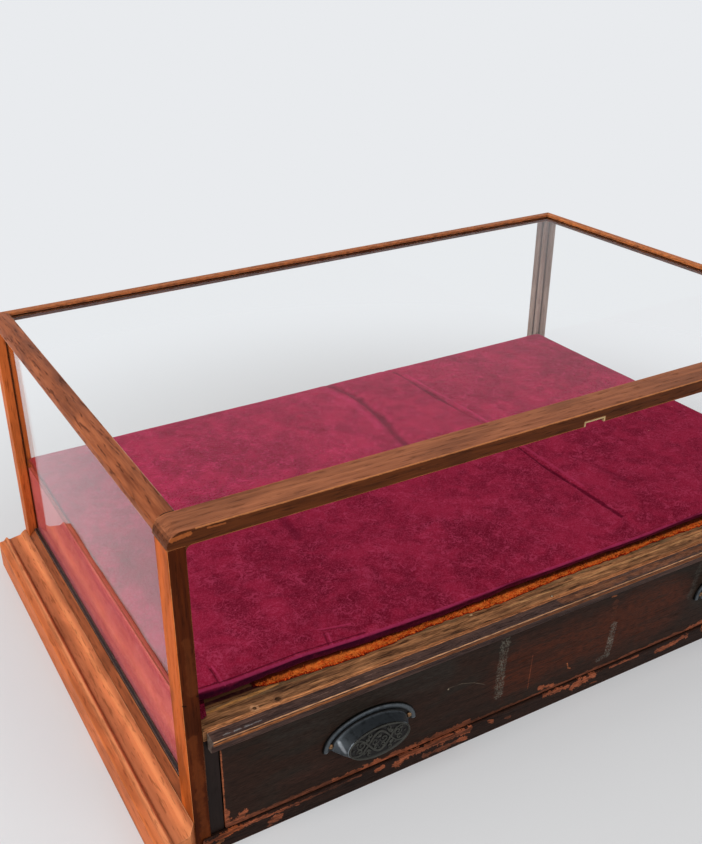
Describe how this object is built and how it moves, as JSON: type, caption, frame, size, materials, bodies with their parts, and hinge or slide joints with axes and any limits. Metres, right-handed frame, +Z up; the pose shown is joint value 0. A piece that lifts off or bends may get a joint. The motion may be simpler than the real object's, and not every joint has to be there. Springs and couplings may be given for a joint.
{
  "type": "haberdashery cabinet",
  "caption": "Glazed counter-top haberdashery display cabinet with an open front, a velvet display bed and a wide drawer with cup pulls in its base.",
  "frame": {"origin": "middle of the object's plan, on the surface it stands on", "axes": "+Z up, +X to the right along the front, the front and the drawer face -Y"},
  "size_m": [0.9928, 0.6284, 0.374],
  "materials": {
    "worn_orange_wood": "worn satin varnish",
    "brown_wood": "worn dark varnish",
    "black_wood": "flaking black-brown varnish",
    "weathered_wood": "dry and unfinished",
    "bare_wood": "planed, unfinished",
    "velvet": "crimson velvet, creased",
    "plush": "frayed rust-orange plush",
    "pull_iron": "blackened, rubbed on the high spots",
    "brass": "dull",
    "pane_glass": "clear",
    "black_putty": "matt black"
  },
  "bodies": {
    "case": {"top_rail_front": "brown_wood", "top_rail_back": "worn_orange_wood", "top_rail_left": "worn_orange_wood", "top_rail_right": "worn_orange_wood", "front_post_left": "worn_orange_wood", "front_post_right": "worn_orange_wood", "rear_post_left": "worn_orange_wood", "rear_post_right": "worn_orange_wood", "top_glass": "pane_glass", "back_glass": "pane_glass", "side_glass_left": "pane_glass", "side_glass_right": "pane_glass", "base_rail_back": "brown_wood", "base_rail_left": "worn_orange_wood", "base_rail_right": "worn_orange_wood", "glazing_strip_back": "black_putty", "glazing_strip_left": "black_putty", "glazing_strip_right": "black_putty", "base_moulding_left": "worn_orange_wood", "base_moulding_right": "worn_orange_wood", "bottom_rail_front": "black_wood", "front_stile_left": "black_wood", "front_stile_right": "black_wood", "drawer_head_rail": "black_wood", "carcass_side_left": "bare_wood", "carcass_side_right": "bare_wood", "carcass_back": "bare_wood", "carcass_bottom": "bare_wood", "side_lining_left": "velvet", "side_lining_right": "velvet", "back_lining": "velvet", "ledge_board": "weathered_wood", "nosing": "black_wood", "deck_board": "bare_wood", "plush_strip": "plush", "velvet_pad": "velvet", "drawer_runner_left": "bare_wood", "drawer_runner_right": "bare_wood", "drawer_kicker_left": "bare_wood", "drawer_kicker_right": "bare_wood", "drawer_stop_left": "bare_wood", "drawer_stop_right": "bare_wood", "catch_keep": "brass"},
    "drawer": {"drawer_front": "black_wood", "drawer_side_left": "bare_wood", "drawer_side_right": "bare_wood", "drawer_back": "bare_wood", "drawer_bottom": "bare_wood", "cup_pull_left": "pull_iron", "cup_pull_right": "pull_iron", "cup_pull_screw_left_1": "brass", "cup_pull_screw_left_2": "brass", "cup_pull_screw_right_1": "brass", "cup_pull_screw_right_2": "brass"}
  },
  "joints": [
    {"name": "drawer_slide", "type": "slide", "parent": "case", "child": "drawer", "axis": [0, -1, 0], "range_m": [0, 0.42]}
  ]
}
